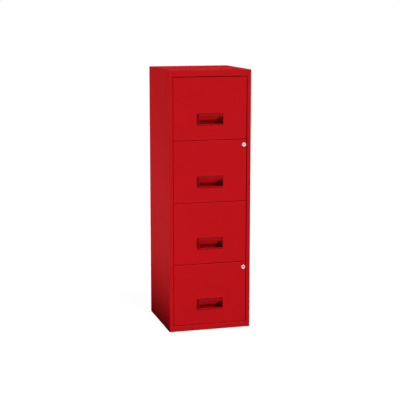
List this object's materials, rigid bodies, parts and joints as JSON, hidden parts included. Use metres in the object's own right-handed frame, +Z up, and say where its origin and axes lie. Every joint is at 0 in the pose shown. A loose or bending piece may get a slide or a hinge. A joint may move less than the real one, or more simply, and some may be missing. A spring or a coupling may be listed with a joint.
{
  "type": "filing cabinet",
  "caption": "Upright steel filing cabinet with suspension-file drawers on ball-bearing slides, recessed grips with thumb catches, and cam locks.",
  "frame": {"origin": "centre of the cabinet's outline, on the floor", "axes": "+Z up, drawer fronts face -Y, +X to the right of someone facing the fronts"},
  "size_m": [0.4, 0.4, 1.25],
  "materials": {
    "red_enamel": "satin powder coat with a fine orange-peel texture",
    "red_moulding": "lightly textured moulded plastic",
    "black_nylon": "satin black moulded nylon",
    "clear_strip": "clear polished plastic",
    "nickel": "nickel plate, lightly brushed",
    "zinc_steel": "bright zinc plate"
  },
  "bodies": {
    "cabinet": {"right_side_panel": "red_enamel", "left_side_panel": "red_enamel", "back_panel": "red_enamel", "top_panel": "red_enamel", "base_panel": "red_enamel", "slide_uprights": "zinc_steel", "floor_glides": "black_nylon", "drawer_1_cabinet_rails": "zinc_steel", "drawer_2_cabinet_rails": "zinc_steel", "drawer_3_cabinet_rails": "zinc_steel", "drawer_4_cabinet_rails": "zinc_steel"},
    "drawer_1": {"drawer_1_rails": "zinc_steel", "drawer_1_front": "red_enamel", "drawer_1_wall": "red_enamel", "drawer_1_tray": "red_enamel", "drawer_1_back": "red_enamel", "drawer_1_handle": "red_moulding", "drawer_1_label_window": "clear_strip"},
    "slide_1": {"drawer_1_middle_rails": "zinc_steel"},
    "catch_1": {"drawer_1_thumb_catch": "black_nylon", "drawer_1_latch_bar": "zinc_steel"},
    "drawer_2": {"drawer_2_rails": "zinc_steel", "drawer_2_front": "red_enamel", "drawer_2_wall": "red_enamel", "drawer_2_tray": "red_enamel", "drawer_2_back": "red_enamel", "drawer_2_handle": "red_moulding", "drawer_2_label_window": "clear_strip", "upper_lock_barrel": "nickel", "upper_lock_nut": "zinc_steel"},
    "slide_2": {"drawer_2_middle_rails": "zinc_steel"},
    "catch_2": {"drawer_2_thumb_catch": "black_nylon", "drawer_2_latch_bar": "zinc_steel"},
    "drawer_3": {"drawer_3_rails": "zinc_steel", "drawer_3_front": "red_enamel", "drawer_3_wall": "red_enamel", "drawer_3_tray": "red_enamel", "drawer_3_back": "red_enamel", "drawer_3_handle": "red_moulding", "drawer_3_label_window": "clear_strip"},
    "slide_3": {"drawer_3_middle_rails": "zinc_steel"},
    "catch_3": {"drawer_3_thumb_catch": "black_nylon", "drawer_3_latch_bar": "zinc_steel"},
    "drawer_4": {"drawer_4_rails": "zinc_steel", "drawer_4_front": "red_enamel", "drawer_4_wall": "red_enamel", "drawer_4_tray": "red_enamel", "drawer_4_back": "red_enamel", "drawer_4_handle": "red_moulding", "drawer_4_label_window": "clear_strip", "lower_lock_barrel": "nickel", "lower_lock_nut": "zinc_steel"},
    "slide_4": {"drawer_4_middle_rails": "zinc_steel"},
    "catch_4": {"drawer_4_thumb_catch": "black_nylon", "drawer_4_latch_bar": "zinc_steel"},
    "upper_lock": {"upper_lock_plug": "nickel", "upper_lock_cam": "zinc_steel"},
    "lower_lock": {"lower_lock_plug": "nickel", "lower_lock_cam": "zinc_steel"}
  },
  "joints": [
    {"name": "drawer_1_slide", "type": "slide", "parent": "cabinet", "child": "drawer_1", "axis": [0, -1, 0], "range_m": [0, 0.33]},
    {"name": "slide_1_middle", "type": "slide", "parent": "cabinet", "child": "slide_1", "axis": [0, -1, 0], "range_m": [0, 0.165]},
    {"name": "catch_1_latch", "type": "slide", "parent": "drawer_1", "child": "catch_1", "axis": [1, 0, 0], "range_m": [0, 0.005]},
    {"name": "drawer_2_slide", "type": "slide", "parent": "cabinet", "child": "drawer_2", "axis": [0, -1, 0], "range_m": [0, 0.33]},
    {"name": "slide_2_middle", "type": "slide", "parent": "cabinet", "child": "slide_2", "axis": [0, -1, 0], "range_m": [0, 0.165]},
    {"name": "catch_2_latch", "type": "slide", "parent": "drawer_2", "child": "catch_2", "axis": [1, 0, 0], "range_m": [0, 0.005]},
    {"name": "drawer_3_slide", "type": "slide", "parent": "cabinet", "child": "drawer_3", "axis": [0, -1, 0], "range_m": [0, 0.33]},
    {"name": "slide_3_middle", "type": "slide", "parent": "cabinet", "child": "slide_3", "axis": [0, -1, 0], "range_m": [0, 0.165]},
    {"name": "catch_3_latch", "type": "slide", "parent": "drawer_3", "child": "catch_3", "axis": [1, 0, 0], "range_m": [0, 0.005]},
    {"name": "drawer_4_slide", "type": "slide", "parent": "cabinet", "child": "drawer_4", "axis": [0, -1, 0], "range_m": [0, 0.33]},
    {"name": "slide_4_middle", "type": "slide", "parent": "cabinet", "child": "slide_4", "axis": [0, -1, 0], "range_m": [0, 0.165]},
    {"name": "catch_4_latch", "type": "slide", "parent": "drawer_4", "child": "catch_4", "axis": [1, 0, 0], "range_m": [0, 0.005]},
    {"name": "upper_lock_turn", "type": "hinge", "parent": "drawer_2", "child": "upper_lock", "pos_m": [0.1665, -0.19, 0.896], "axis": [0, -1, 0], "range_deg": [-90, 0]},
    {"name": "lower_lock_turn", "type": "hinge", "parent": "drawer_4", "child": "lower_lock", "pos_m": [0.1665, -0.19, 0.3022], "axis": [0, -1, 0], "range_deg": [-90, 0]}
  ],
  "couplings": [
    {"joint": "slide_1_middle", "follows": "drawer_1_slide", "ratio": 0.5},
    {"joint": "slide_2_middle", "follows": "drawer_2_slide", "ratio": 0.5},
    {"joint": "slide_3_middle", "follows": "drawer_3_slide", "ratio": 0.5},
    {"joint": "slide_4_middle", "follows": "drawer_4_slide", "ratio": 0.5}
  ]
}
